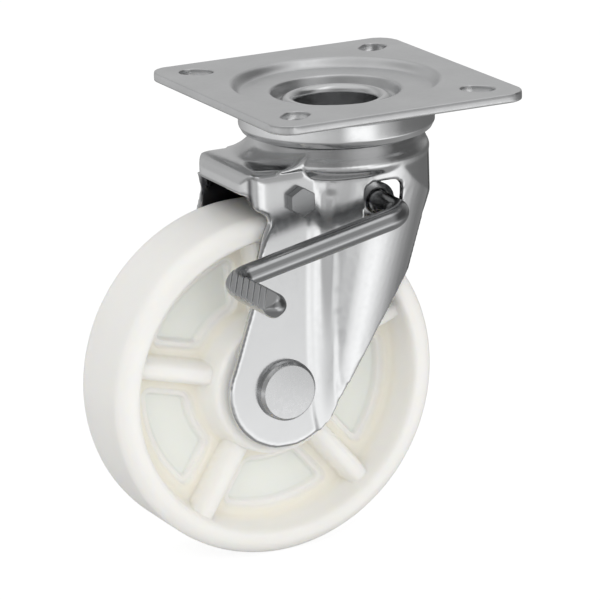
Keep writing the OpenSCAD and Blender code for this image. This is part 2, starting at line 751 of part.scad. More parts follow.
// Hexagonal prism along Y
module hex_y(x, z, af, y0, y1) {
    translate([x, y1, z]) rotate([90, 0, 0]) rotate([0, 0, 30])
        cylinder(h = y1 - y0, d = af / cos(30), $fn = 6);
}

// Hexagon bolt that the brake shoe swings on
module brake_pivot_bolt() {
    head = 4;
    grip = leg_out + 8;
    color(steel) {
        intersection() {
            hex_y(pivot_x, pivot_z, pivot_af, -leg_out - head, -leg_out);
            translate([pivot_x, -leg_out, pivot_z]) rotate([90, 0, 0])
                cylinder(h = head, r1 = pivot_af * 0.7, r2 = pivot_af * 0.555);
        }
        rod_y(pivot_x, pivot_z, pivot_d / 2, -leg_out - cut, grip);
    }
}

module brake_pivot_nut() {
    color(steel) difference() {
        hex_y(pivot_x, pivot_z, pivot_af, leg_out, leg_out + 5);
        rod_y(pivot_x, pivot_z, pivot_d / 2 + seat_clear, leg_out - cut, leg_out + 5 + cut);
    }
}

// Shape of one pocket between two ribs, centred on the X axis, with round corners
module pocket_view() {
    in_r = hub_r + 4.5;
    out_r = wheel_r - rim_t - 7;
    margin = rib_w / 2 + 4;
    half = 180 / rib_n;
    corner = 5;
    far = wheel_d;
    apex = margin / sin(half);
    apex_in = (margin + corner) / sin(half);
    intersection() {
        difference() {
            circle(r = out_r - corner);
            circle(r = in_r + corner);
        }
        polygon([[apex, 0], [apex + far * cos(half), far * sin(half)],
            [apex + far * cos(half), -far * sin(half)]]);
    }
    intersection() {
        difference() {
            circle(r = out_r);
            circle(r = in_r);
        }
        polygon([[apex_in, 0], [apex_in + far * cos(half), far * sin(half)],
            [apex_in + far * cos(half), -far * sin(half)]]);
    }
    for (side = [-1, 1], rr = [in_r + corner, out_r - corner]) {
        a = half - asin((margin + corner) / rr);
        translate([rr * cos(a), side * rr * sin(a)]) circle(r = corner, $fn = 40);
    }
}

// Section of the wheel in radius and width, with both bearing seats
module wheel_section() {
    half = wheel_w / 2;
    lip = wheel_r - rim_t;
    lip_round = 2;
    hub_round = 1.5;
    foot = web_t / 2;
    seat_r = bearing_ro + seat_clear;
    side = concat(
        arc_points(wheel_r - tread_r, half - tread_r, tread_r, 0, 90),
        arc_points(lip + lip_round, half - lip_round, lip_round, 90, 180, 5),
        [[lip - 1.2, foot + 2.4], [lip - 3.5, foot], [hub_r + 3.5, foot], [hub_r + 1.2, foot + 2]],
        arc_points(hub_r - hub_round, hub_half - hub_round, hub_round, 0, 90, 4),
        [[seat_r, hub_half], [seat_r, bearing_face - bearing_w], [bearing_ro - 3, bearing_face - bearing_w]]);
    polygon(concat(side, [for (i = [len(side) - 1:-1:0]) [side[i][0], -side[i][1]]]));
}

// Moulded wheel: crowned rim, hub, ribbed web with thin panes
module wheel() {
    step = 360 / rib_n;
    first_rib = 93.6;
    pane = pane_t / 2;
    color(ivory) translate([axle_x, 0, axle_z]) union() {
        difference() {
            rotate([-90, 0, 0]) rotate_extrude() wheel_section();
            for (i = [0:rib_n - 1], side = [-1, 1]) {
                rotate([0, -first_rib - step * (i + 0.5), 0])
                    translate([0, side > 0 ? web_t / 2 + cut : -pane, 0])
                    rotate([90, 0, 0]) linear_extrude(web_t / 2 - pane + cut) pocket_view();
            }
        }
        for (i = [0:rib_n - 1]) {
            rotate([0, -first_rib - step * i, 0]) rib();
        }
    }
}

// One radial rib with a rounded crest on both faces of the web
module rib() {
    r = rib_w / 2;
    crest = rib_top - r;
    start = hub_r - 2;
    span = wheel_r - rim_t + 1 - start;
    translate([start, 0, 0]) rotate([0, 90, 0]) linear_extrude(span) {
        translate([-r, -crest]) square([rib_w, 2 * crest]);
        for (side = [-1, 1]) {
            translate([0, side * crest]) circle(r = r, $fn = 48);
        }
    }
}

// Axle bolt with a bevelled round head
module axle_bolt() {
    bevel = 1.5;
    color(steel) translate([axle_x, 0, axle_z]) rotate([90, 0, 0]) {
        translate([0, 0, leg_out]) cylinder(h = axle_head_h - bevel, d = axle_head_d);
        translate([0, 0, leg_out + axle_head_h - bevel])
            cylinder(h = bevel, d1 = axle_head_d, d2 = axle_head_d - 2 * bevel);
        translate([0, 0, -leg_out - washer_t - axle_nut_h - 1.5])
            cylinder(h = 2 * leg_out + washer_t + axle_nut_h + 1.5 + cut, r = axle_r);
    }
}

module axle_washer() {
    color(steel) difference() {
        rod_y(axle_x, axle_z, washer_r, leg_out, leg_out + washer_t);
        rod_y(axle_x, axle_z, axle_r + seat_clear, leg_out - cut, leg_out + washer_t + cut);
    }
}

module axle_nut() {
    y0 = leg_out + washer_t;
    color(steel) difference() {
        intersection() {
            hex_y(axle_x, axle_z, axle_nut_af, y0, y0 + axle_nut_h);
            translate([axle_x, y0, axle_z]) rotate([-90, 0, 0])
                cylinder(h = axle_nut_h, r1 = axle_nut_af * 0.72, r2 = axle_nut_af * 0.53);
        }
        rod_y(axle_x, axle_z, axle_r + seat_clear, y0 - cut, y0 + axle_nut_h + cut);
    }
}

// Sleeve that the bearings sit on, held between the legs
module axle_sleeve() {
    color(bright) difference() {
        rod_y(axle_x, axle_z, bearing_ri, -leg_in, leg_in);
        rod_y(axle_x, axle_z, sleeve_in_r, -leg_in - cut, leg_in + cut);
    }
}

// Spacer ring between a bearing and a leg, on the +Y side
module spacer_ring() {
    color(bright) difference() {
        rod_y(axle_x, axle_z, bearing_ri + bearing_wall + 0.6, bearing_face, leg_in);
        rod_y(axle_x, axle_z, bearing_ri + seat_clear, bearing_face - cut, leg_in + cut);
    }
}

module left_spacer() { spacer_ring(); }

module right_spacer() { mirror([0, 1, 0]) spacer_ring(); }

// Bearing ring between the radii r0 and r1, grooved for the balls, on the +Y side
module bearing_ring(r0, r1) {
    color(bright) on_axle() rotate_extrude() difference() {
        translate([r0, bearing_face - bearing_w]) square([r1 - r0, bearing_w]);
        translate([bearing_row_r, bearing_mid]) circle(r = bearing_groove_r, $fn = 48);
    }
}

module bearing_outer() { bearing_ring(bearing_ro - bearing_wall, bearing_ro); }

module bearing_inner() { bearing_ring(bearing_ri + seat_clear, bearing_ri + bearing_wall); }

module bearing_balls() {
    color(bright) on_axle() ball_row(bearing_ball_n, bearing_ball_d, bearing_row_r, bearing_mid);
}

// Thin shield that closes the bearing's outer side and turns with its outer ring
module bearing_shield() {
    y0 = bearing_face - shield_t - 0.4;
    gap_in = bearing_ri + bearing_wall + 0.2;
    color(steel) difference() {
        rod_y(axle_x, axle_z, bearing_ro - bearing_wall - seat_clear, y0, y0 + shield_t);
        rod_y(axle_x, axle_z, gap_in, y0 - cut, y0 + shield_t + cut);
    }
}

module left_bearing_outer() { bearing_outer(); }
module left_bearing_inner() { bearing_inner(); }
module left_bearing_balls() { bearing_balls(); }
module left_bearing_shield() { bearing_shield(); }
module right_bearing_outer() { mirror([0, 1, 0]) bearing_outer(); }
module right_bearing_inner() { mirror([0, 1, 0]) bearing_inner(); }
module right_bearing_balls() { mirror([0, 1, 0]) bearing_balls(); }
module right_bearing_shield() { mirror([0, 1, 0]) bearing_shield(); }

mounting_plate();
upper_race();
hollow_kingpin();
upper_balls();
lower_balls();
fork();
brake_bracket();
brake_lever();
lever_clip();
brake_shoe();
shoe_spring();
brake_pivot_bolt();
brake_pivot_nut();
wheel();
axle_bolt();
axle_nut();
axle_washer();
axle_sleeve();
right_spacer();
left_spacer();
right_bearing_outer();
right_bearing_inner();
right_bearing_balls();
right_bearing_shield();
left_bearing_outer();
left_bearing_inner();
left_bearing_balls();
left_bearing_shield();
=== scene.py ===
import json
import logging
import math
from dataclasses import dataclass
from enum import Enum
from typing import ClassVar, Optional, Sequence

import bmesh
import bpy
import numpy as np
from mathutils import Matrix, Vector

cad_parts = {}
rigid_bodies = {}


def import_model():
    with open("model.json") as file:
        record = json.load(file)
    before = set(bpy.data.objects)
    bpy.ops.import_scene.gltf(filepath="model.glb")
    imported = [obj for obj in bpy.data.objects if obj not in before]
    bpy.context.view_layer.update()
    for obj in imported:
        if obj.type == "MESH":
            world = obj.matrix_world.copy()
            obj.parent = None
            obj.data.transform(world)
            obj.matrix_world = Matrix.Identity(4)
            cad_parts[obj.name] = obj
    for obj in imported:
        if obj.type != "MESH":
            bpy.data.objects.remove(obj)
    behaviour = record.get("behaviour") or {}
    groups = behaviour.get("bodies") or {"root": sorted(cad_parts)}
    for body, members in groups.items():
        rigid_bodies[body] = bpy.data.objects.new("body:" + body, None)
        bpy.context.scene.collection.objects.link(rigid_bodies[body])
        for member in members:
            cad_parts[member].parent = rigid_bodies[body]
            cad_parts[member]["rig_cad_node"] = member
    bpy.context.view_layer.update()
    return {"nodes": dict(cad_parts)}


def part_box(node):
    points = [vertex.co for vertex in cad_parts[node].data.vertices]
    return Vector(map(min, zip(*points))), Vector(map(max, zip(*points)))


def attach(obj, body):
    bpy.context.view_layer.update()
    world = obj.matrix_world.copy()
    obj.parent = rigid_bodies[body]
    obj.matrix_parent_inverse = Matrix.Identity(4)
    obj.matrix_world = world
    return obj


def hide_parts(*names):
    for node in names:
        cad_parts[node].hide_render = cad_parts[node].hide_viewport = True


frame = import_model()

LOG = logging.getLogger("castor")
MM = 0.001
TINY = 1e-6
WHITE = (1.0, 1.0, 1.0, 1.0)
NOISE_MIDDLE = (0.3, 0.7)

Pair = tuple[float, float]
Triple = tuple[float, float, float]
Object = bpy.types.Object
Node = bpy.types.Node
Socket = bpy.types.NodeSocket


class Side(Enum):
    """The two sides of the wheel along the axle."""

    RIGHT = -1
    LEFT = 1


class Grain(Enum):
    """How a metal's fine marks run."""

    PLAIN = (1.0, 1.0, 1.0)
    DRAWN = (1.0, 1.0, 0.06)
    ALONG_X = (0.06, 1.0, 1.0)
    ALONG_Y = (1.0, 0.06, 1.0)


# Surfaces


def smooth_step(start: float, end: float, value: np.ndarray) -> np.ndarray:
    """Eases from 0 at start to 1 at end: three t squared less two t cubed.

    Args:
        start: value where the step begins.
        end: value where the step is complete.
        value: where it is read.

    Returns:
        The eased step, as large as value.
    """
    t = np.clip((value - start) / (end - start), 0.0, 1.0)
    return t * t * (3.0 - 2.0 * t)


def soft_max(a: np.ndarray, b: np.ndarray, width: float) -> np.ndarray:
    """Larger of a and b with a fillet between them.

    It is half of a plus b plus the root of their squared difference plus width squared.

    Args:
        a: first height.
        b: second height.
        width: size of the fillet.

    Returns:
        The blended height.
    """
    return 0.5 * (a + b + np.sqrt((a - b) ** 2 + width**2))


def rounded(points: Sequence[Triple], steps: int = 6) -> np.ndarray:
    """Turns corners into arcs.

    Each arc touches both edges at its radius over the tangent of half the corner's angle, so a corner
    with a radius can't lie on a straight line.

    Args:
        points: corners as (u, v, radius) in order round the profile.
        steps: pieces in each arc.

    Returns:
        The profile's points, one row each.
    """
    out: list[np.ndarray] = []
    count = len(points)
    for k in range(count):
        corner = np.array(points[k][:2], float)
        radius = points[k][2]
        if radius <= 0:
            out.append(corner[None])
            continue
        before = np.array(points[k - 1][:2], float) - corner
        after = np.array(points[(k + 1) % count][:2], float) - corner
        before /= np.linalg.norm(before)
        after /= np.linalg.norm(after)
        half = 0.5 * math.acos(float(np.clip(before @ after, -1, 1)))
        reach = radius / math.tan(half)
        middle = (before + after) / np.linalg.norm(before + after)
        centre = corner + middle * radius / math.sin(half)
        first = corner + before * reach - centre
        last = corner + after * reach - centre
        t = np.linspace(0, 1, steps + 1)[:, None]
        turn = math.pi - 2 * half
        arc = (np.sin((1 - t) * turn) * first + np.sin(t * turn) * last) / math.sin(turn)
        out.append(centre + arc)
    return np.concatenate(out)


def link_object(name: str, data: bpy.types.ID) -> Object:
    """Makes an object and links it to the scene.

    Args:
        name: the object's name.
        data: its mesh, lamp or camera.

    Returns:
        The object.
    """
    obj = bpy.data.objects.new(name, data)
    bpy.context.scene.collection.objects.link(obj)
    return obj


def point_rows(mesh: bpy.types.Mesh, what: str = "co") -> np.ndarray:
    """Reads a mesh's points.

    Args:
        mesh: the mesh.
        what: "co" for the places, or "normal".

    Returns:
        One row of three for each point.
    """
    rows = np.zeros(len(mesh.vertices) * 3, np.float32)
    mesh.vertices.foreach_get(what, rows)
    return rows.reshape(-1, 3)


def mark_points(mesh: bpy.types.Mesh, name: str, values: np.ndarray) -> None:
    """Stores a number at each point, for a material to read.

    Args:
        mesh: the mesh.
        name: the attribute's name.
        values: the numbers, in the points' order.
    """
    layer = mesh.attributes.new(name, "FLOAT", "POINT")
    layer.data.foreach_set("value", values.ravel().astype(np.float32))


def grid_object(
    name: str,
    points: np.ndarray,
    wrap_rows: bool = False,
    poles: Optional[tuple[np.ndarray, np.ndarray]] = None,
) -> Object:
    """Makes a closed mesh from a grid of points whose columns go once round.

    Args:
        name: the piece's name.
        points: rows by columns by 3, in millimetres.
        wrap_rows: True if the last row joins the first, as in a ring.
        poles: the two end points that close the first and the last row.

    Returns:
        The object, smooth shaded, with its faces outwards.
    """
    rows, columns = points.shape[:2]
    verts = points.reshape(-1, 3)
    i = np.arange(rows if wrap_rows else rows - 1)[:, None]
    j = np.arange(columns)[None, :]
    following, below = (j + 1) % columns, (i + 1) % rows
    quads = np.stack(
        [i * columns + j, i * columns + following, below * columns + following, below * columns + j], -1
    ).reshape(-1, 4)
    faces = [quads]
    if poles is not None:
        ring = np.arange(columns)
        first, last = len(verts), len(verts) + 1
        verts = np.concatenate([verts, np.asarray(poles, float)])
        faces.append(np.stack([np.full(columns, first), (ring + 1) % columns, ring], -1))
        tail = (rows - 1) * columns
        faces.append(np.stack([np.full(columns, last), tail + ring, tail + (ring + 1) % columns], -1))
    volume = sum(
        float(np.einsum("ij,ij->i", verts[f[:, 0]], np.cross(verts[f[:, k]], verts[f[:, k + 1]])).sum())
        for f in faces
        for k in range(1, f.shape[1] - 1)
    )
    if volume < 0:
        faces = [f[:, ::-1] for f in faces]
    mesh = bpy.data.meshes.new(name)
    mesh.from_pydata((verts * MM).tolist(), [], [row for f in faces for row in f.tolist()])
    mesh.polygons.foreach_set("use_smooth", np.ones(len(mesh.polygons), bool))
    mesh.update()
    return link_object(name, mesh)


def turned(name: str, profile: np.ndarray, centre: Triple, along: str, segments: int = 180) -> Object:
    """Turns a closed profile into a ring.

    Each point (r, t) of the profile goes to r times the circle plus t along the axis.

    Args:
        name: the piece's name.
        profile: closed profile in radius and length, in millimetres.
        centre: a point on the axis, in millimetres.
        along: "Y" or "Z", the axis.
        segments: steps round the axis.

    Returns:
        The ring.
    """
    angle = np.linspace(0, 2 * np.pi, segments, endpoint=False)
    r, t = profile[:, 0, None], profile[:, 1, None]
    round_a, round_b, length = r * np.cos(angle), r * np.sin(angle), t + 0 * angle
    parts = (round_a, length, round_b) if along == "Y" else (round_a, round_b, length)
    points = np.stack(parts, -1) + np.array(centre)
    if max(profile[0, 0], profile[-1, 0]) < TINY:
        return grid_object(name, points[1:-1], poles=(points[0, 0], points[-1, 0]))
    return grid_object(name, points, wrap_rows=True)


def softened(
    node: str, voxel: float, passes: int, strength: float = 0.5, joined: Optional[Object] = None
) -> Object:
    """Copies a solid and gives its edges the soft radii of pressed or bent steel.

    The copy's doubles are merged, it is cut into cubes of the voxel's size and each point then moves
    towards the middle of its neighbours by the strength, as many times as there are passes.

    Args:
        node: the solid's name.
        voxel: size of the cubes, in millimetres.
        passes: how often the surface is smoothed.
        strength: share of the way that a point moves in each pass.
        joined: a closed piece that melts into the copy, and is used up.

    Returns:
        The softened piece, which stands for the solid.
    """
    low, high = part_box(node)
    both = bmesh.new()
    both.from_mesh(frame["nodes"][node].data)
    if joined is not None:
        both.from_mesh(joined.data)
        bpy.data.objects.remove(joined)
    start = bpy.data.meshes.new(node + "_start")
    both.to_mesh(start)
    both.free()
    work = link_object(node + "_work", start)
    weld = work.modifiers.new("weld", "WELD")
    weld.merge_threshold = TINY
    cubes = work.modifiers.new("cubes", "REMESH")
    cubes.mode = "VOXEL"
    cubes.voxel_size = voxel * MM
    cubes.adaptivity = 0.0
    if passes:
        ease = work.modifiers.new("ease", "SMOOTH")
        ease.factor = strength
        ease.iterations = passes
    bpy.context.view_layer.update()
    shaped = work.evaluated_get(bpy.context.evaluated_depsgraph_get())
    mesh = bpy.data.meshes.new_from_object(shaped)
    rows = np.clip(point_rows(mesh), np.array(low), np.array(high))
    mesh.vertices.foreach_set("co", rows.ravel())
    mesh.polygons.foreach_set("use_smooth", np.ones(len(mesh.polygons), bool))
    mesh.materials.clear()
    mesh.update()
    bpy.data.objects.remove(work)
    return link_object(node + "_formed", mesh)


def dress(obj: Object, body: str, finish: "Finish", nodes: Sequence[str] = ()) -> Object:
    """Gives a piece its finish, puts it on its body and lets it stand for its solids.

    Args:
        obj: the piece.
        body: the body that it moves with.
        finish: the finish.
        nodes: the solids that it stands for.

    Returns:
        The same piece.
    """
    obj.data.materials.clear()
    obj.data.materials.append(finish.material())
    if "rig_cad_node" not in obj:
        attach(obj, body)
    if nodes:
        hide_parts(*nodes)
    LOG.info("%s: %d faces, %s", obj.name, len(obj.data.polygons), finish.name)
    return obj


# Finishes


class Board:
    """Node tree of a material or of the world, with short ways to add and join nodes."""

    def __init__(self, owner: bpy.types.ID, output: str = "ShaderNodeOutputMaterial") -> None:
        """Empties the tree.

        Args:
            owner: the material or world that has the tree.
            output: type of the tree's output node.
        """
        owner.use_nodes = True
        self.owner = owner
        self.tree = owner.node_tree
        self.tree.nodes.clear()
        self.output = self.tree.nodes.new(output)

    def feed(self, socket: Socket, value: object) -> None:
        """Links a socket to another one, or sets its value."""
        if isinstance(value, Socket):
            self.tree.links.new(value, socket)
        else:
            socket.default_value = value

    def add(self, kind: str, **inputs: object) -> Node:
        """Adds a node.

        Args:
            kind: the node's type.
            inputs: socket names, with _ for a space, and their values or the sockets that feed them.

        Returns:
            The node.
        """
        node = self.tree.nodes.new(kind)
        for key, value in inputs.items():
            self.feed(node.inputs[key.replace("_", " ")], value)
        return node

    def place(self, stretch: Sequence[float]) -> Socket:
        """Object coordinates times the stretch."""
        where = self.add("ShaderNodeTexCoord").outputs["Object"]
        return self.add("ShaderNodeMapping", Vector=where, Scale=stretch).outputs["Vector"]

    def noise(self, where: Socket, scale: float, detail: float = 3.0, rough: float = 0.5) -> Socket:
        """Noise of that scale per metre, from 0 to 1."""
        node = self.add("ShaderNodeTexNoise", Vector=where, Scale=scale, Detail=detail, Roughness=rough)
        return node.outputs["Fac"]

    def remap(self, value: Socket, start: float, end: float, low: float = 0.0, high: float = 1.0) -> Socket:
        """Maps the range from start to end onto low to high."""
        ends = {"From_Min": start, "From_Max": end, "To_Min": low, "To_Max": high}
        return self.add("ShaderNodeMapRange", Value=value, **ends).outputs["Result"]

    def span(self, value: Socket, low: float, high: float) -> Socket:
        """Maps a noise's middle range to low and high."""
        return self.remap(value, *NOISE_MIDDLE, low, high)

    def operate(self, operation: str, *values: object) -> Socket:
        """Result of one operation on numbers or sockets."""
        node = self.tree.nodes.new("ShaderNodeMath")
        node.operation = operation
        for socket, value in zip(node.inputs, values):
            self.feed(socket, value)
        return node.outputs[0]

    def mix(self, share: Socket, first: object, second: object) -> Socket:
        """Colour between first and second by the share, each a colour or a socket."""
        node = self.tree.nodes.new("ShaderNodeMix")
        node.data_type = "RGBA"
        self.feed(node.inputs["Factor"], share)
        ends = [s for s in node.inputs if s.type == "RGBA"]
        for socket, color in zip(ends, (first, second)):
            self.feed(socket, color if isinstance(color, Socket) else (*color, 1.0))
        return next(s for s in node.outputs if s.type == "RGBA")

    def blend(self, attribute: str, base: Socket, color: Sequence[float]) -> Socket:
        """Base where the mesh's attribute is 0 and the colour where it is 1."""
        reader = self.add("ShaderNodeAttribute")
        reader.attribute_name = attribute
        return self.mix(reader.outputs["Fac"], base, color)

    def bump(self, height: Socket, depth: float, strength: float, under: Optional[Socket] = None) -> Socket:
        """Bump of that depth in metres, over another bump if one is given."""
        node = self.add("ShaderNodeBump", Height=height, Distance=depth, Strength=strength)
        if under is not None:
            self.feed(node.inputs["Normal"], under)
        return node.outputs["Normal"]

    def fade(self, share: Socket, first: Node, second: Node) -> Node:
        """Shader between first and second by the share."""
        node = self.add("ShaderNodeMixShader", Fac=share)
        self.feed(node.inputs[1], first.outputs[0])
        self.feed(node.inputs[2], second.outputs[0])
        return node

    def finish(self, shader: Node) -> bpy.types.ID:
        """Joins the shader to the output and returns the tree's owner."""
        self.feed(self.output.inputs["Surface"], shader.outputs[0])
        return self.owner


_MADE: dict[str, bpy.types.Material] = {}


@dataclass(frozen=True)
class Finish:
    """A finish by name. A subclass says how its material is built."""

    name: str
    color: Triple
    roughness: float

    def material(self) -> bpy.types.Material:
        """The finish's material, made once."""
        if self.name not in _MADE:
            board = Board(bpy.data.materials.new(self.name))
            _MADE[self.name] = board.finish(self.shader(board))
        return _MADE[self.name]

    def shader(self, board: Board) -> Node:
        """Builds the shader on the material's board."""
        raise NotImplementedError


@dataclass(frozen=True)
class Metal(Finish):
    """Plated or ground metal: cloudy colour, uneven gloss, fine marks along the grain.

    A sheet with an inner shade colour takes this painted shade where its mesh's inner attribute is 1.
    """

    grain: Grain = Grain.PLAIN
    cloud: float = 0.03
    uneven: float = 0.03
    marks: float = 0.04
    waviness: float = 0.02
    mark_scale: float = 1600.0
    inner_shade_color: Optional[Triple] = None
    cloud_scale: float = 38.0
    spot_scale: float = 420.0
    wave_depth: float = 0.0006
    mark_depth: float = 0.00004

    def shader(self, board: Board) -> Node:
        """Metal whose colour, gloss and bump follow three noises of different size."""
        plain = board.place(Grain.PLAIN.value)
        clouds = board.noise(plain, self.cloud_scale, detail=4.0, rough=0.55)
        streaks = board.noise(board.place(self.grain.value), self.mark_scale, detail=2.0, rough=0.6)
        spots = board.noise(plain, self.spot_scale, detail=3.0, rough=0.6)
        dark = tuple(c * (1 - self.cloud) for c in self.color)
        light = tuple(min(1.0, c * (1 + self.cloud)) for c in self.color)
        color = board.mix(board.span(clouds, 0, 1), dark, light)
        # painted shade: the inner shade colour darkens the sheet where the inner attribute is 1
        if self.inner_shade_color is not None:
            color = board.blend("inner", color, self.inner_shade_color)
        gloss = board.span(spots, self.roughness - self.uneven, self.roughness + self.uneven)
        waves = board.bump(clouds, self.wave_depth, self.waviness)
        fine = board.bump(streaks, self.mark_depth, self.marks, waves)
        return board.add(
            "ShaderNodeBsdfPrincipled", Base_Color=color, Metallic=1.0, Roughness=gloss, Normal=fine
        )


@dataclass(frozen=True)
class Nylon(Finish):
    """Moulded nylon: warm ivory, milky where it is thin, with a soft sheen; a painted grey shade colours
    the thin panes and a painted yellow shade the creases.
    """

    # painted shade: grey-green for the thin panes at the pockets' floors
    thin_shade_color: Triple = (0.88, 0.90, 0.86)
    # painted shade: darker yellow in the creases, standing in for shade and light scattered in them
    crease_shade_color: Triple = (0.93, 0.895, 0.80)
    uneven: float = 0.05
    milkiness: float = 0.35
    milk_reach: Triple = (1.0, 0.85, 0.6)
    milk_depth: float = 0.004

    def shader(self, board: Board) -> Node:
        """Nylon whose colour takes painted shades from the piece's own thin and crease attributes."""
        plain = board.place(Grain.PLAIN.value)
        clouds = board.noise(plain, scale=55.0)
        grainy = board.noise(plain, scale=1500.0, detail=2.0)
        dark = tuple(c * 0.985 for c in self.color)
        base = board.mix(board.span(clouds, 0, 1), dark, self.color)
        # painted shade: the crease attribute blends in the darker yellow crease colour
        crease_shaded = board.blend("crease", base, self.crease_shade_color)
        waves = board.bump(clouds, depth=0.0004, strength=0.08)
        return board.add(
            "ShaderNodeBsdfPrincipled",
            # painted shade: the thin attribute blends in the grey-green pane colour
            Base_Color=board.blend("thin", crease_shaded, self.thin_shade_color),
            Roughness=board.span(grainy, self.roughness - self.uneven, self.roughness + self.uneven),
            Normal=board.bump(grainy, depth=0.00004, strength=0.10, under=waves),
            Subsurface_Weight=self.milkiness,
            Subsurface_Radius=self.milk_reach,
            Subsurface_Scale=self.milk_depth,
        )


@dataclass(frozen=True)
class Paint(Finish):
    """Dull black coating."""

    uneven: float = 0.05

    def shader(self, board: Board) -> Node:
        """Dark coat with a fine orange peel."""
        peel = board.noise(board.place(Grain.PLAIN.value), scale=900.0, detail=2.0)
        return board.add(
            "ShaderNodeBsdfPrincipled",
            Base_Color=(*self.color, 1.0),
            Roughness=board.span(peel, self.roughness - self.uneven, self.roughness + self.uneven),
            Normal=board.bump(peel, depth=0.00005, strength=0.2),
        )


# painted shade: near black colour for the apron's inside, standing in for its shadow
INNER_SHADE = (0.05, 0.05, 0.055)
PLATE_ZINC = Metal("plate_zinc", (0.66, 0.665, 0.67), 0.36, cloud=0.05, marks=0.06)
FORK_ZINC = Metal(
    "fork_zinc", (0.66, 0.665, 0.67), 0.19, Grain.DRAWN, cloud=0.02, marks=0.02, inner_shade_color=INNER_SHADE
)
RING_STEEL = Metal("ring_steel", (0.69, 0.695, 0.70), 0.17, marks=0.03)
KINGPIN_STEEL = Metal("kingpin_steel", (0.70, 0.705, 0.71), 0.22, marks=0.05)
ROD_ZINC = Metal("rod_zinc", (0.39, 0.395, 0.40), 0.20, Grain.ALONG_X, marks=0.05)
BOLT_ZINC = Metal("bolt_zinc", (0.60, 0.605, 0.61), 0.28, marks=0.06)
HEX_ZINC = Metal("hex_zinc", (0.34, 0.345, 0.35), 0.30, marks=0.06)
BRACKET_ZINC = Metal("bracket_zinc", (0.62, 0.625, 0.63), 0.22, marks=0.06)
INNER_ZINC = Metal("inner_zinc", (0.30, 0.305, 0.31), 0.42, Grain.ALONG_Y, marks=0.10)
RACE_STEEL = Metal("race_steel", (0.72, 0.73, 0.75), 0.18, marks=0.03)
SPRING_WIRE = Metal("spring_wire", (0.38, 0.39, 0.41), 0.32, marks=0.05)
SHIELD_BLACK = Paint("shield_black", (0.035, 0.035, 0.037), 0.45)
IVORY_NYLON = Nylon("ivory_nylon", (0.94, 0.925, 0.89), 0.34)


# Swivel head


@dataclass
class SwivelHead:
    """Mounting plate, race ring and hollow kingpin, in millimetres."""

    plate_under: float = -8.0
    ring_radius: float = 42.2
    ring_height: float = 12.5
    ring_inner: float = 28.8
    well_floor: float = -9.5
    bore_radius: float = 17.8
    tube_radius: float = 20.4
    lip_radius: float = 24.2
    flange_top: float = -25.2
    flange_thickness: float = 3.2
    flange_radius: float = 31.5

    def build(self) -> None:
        """Builds and dresses the head."""
        plate = softened("mounting_plate", voxel=0.62, passes=3)
        dress(plate, "plate", PLATE_ZINC, ["mounting_plate"])
        ring = turned("race_ring", self.ring_profile(), (0, 0, 0), "Z", 240)
        dress(ring, "plate", RING_STEEL, ["upper_race"])
        kingpin = turned("kingpin_tube", self.kingpin_profile(), (0, 0, 0), "Z", 200)
        dress(kingpin, "plate", KINGPIN_STEEL, ["hollow_kingpin"])
        for row, body in (("upper_balls", "upper_ball_row"), ("lower_balls", "lower_ball_row")):
            dress(frame["nodes"][row], body, RACE_STEEL)

    def ring_profile(self) -> np.ndarray:
        """Section of the race ring: a rounded shoulder, a straight skirt and a groove's wall inside."""
        top = self.plate_under
        foot = top - self.ring_height
        r = self.ring_radius
        sheet = 2.6
        return rounded(
            [
                (self.ring_inner, top, 0.4),
                (r, top, 2.8),
                (r, foot + 3.0, 2.0),
                (r - 1.4, foot + 0.4, 0.5),
                (r - 2.4, foot + 0.6, 0.4),
                (r - sheet, foot + 4.6, 1.0),
                (r - sheet, top - sheet, 1.2),
                (self.ring_inner + 6.5, top - sheet, 1.0),
                (self.ring_inner + 6.0, top - 1.7, 0.6),
                (self.ring_inner, top - 1.7, 0.4),
            ]
        )

    def kingpin_profile(self) -> np.ndarray:
        """Section of the kingpin: half round lip, tube and lower flange."""
        curl = (self.lip_radius - self.bore_radius) / 2
        turn = np.radians(np.linspace(180, 2, 25))
        middle = self.bore_radius + curl
        lip = np.stack([middle + curl * np.cos(turn), self.well_floor + curl * np.sin(turn)], 1)
        low = self.flange_top - self.flange_thickness
        rest = rounded(
            [
                (self.lip_radius - 0.1, self.well_floor, 0.0),
                (self.tube_radius, self.well_floor, 0.3),
                (self.tube_radius, self.flange_top - 0.9, 0.8),
                (self.flange_radius - 1.2, self.flange_top - 0.9, 0.6),
                (self.flange_radius, self.flange_top - 0.4, 0.3),
                (self.flange_radius, low, 0.8),
                (self.bore_radius, low, 0.8),
            ]
        )
        return np.concatenate([lip, rest])


# Fork and axle


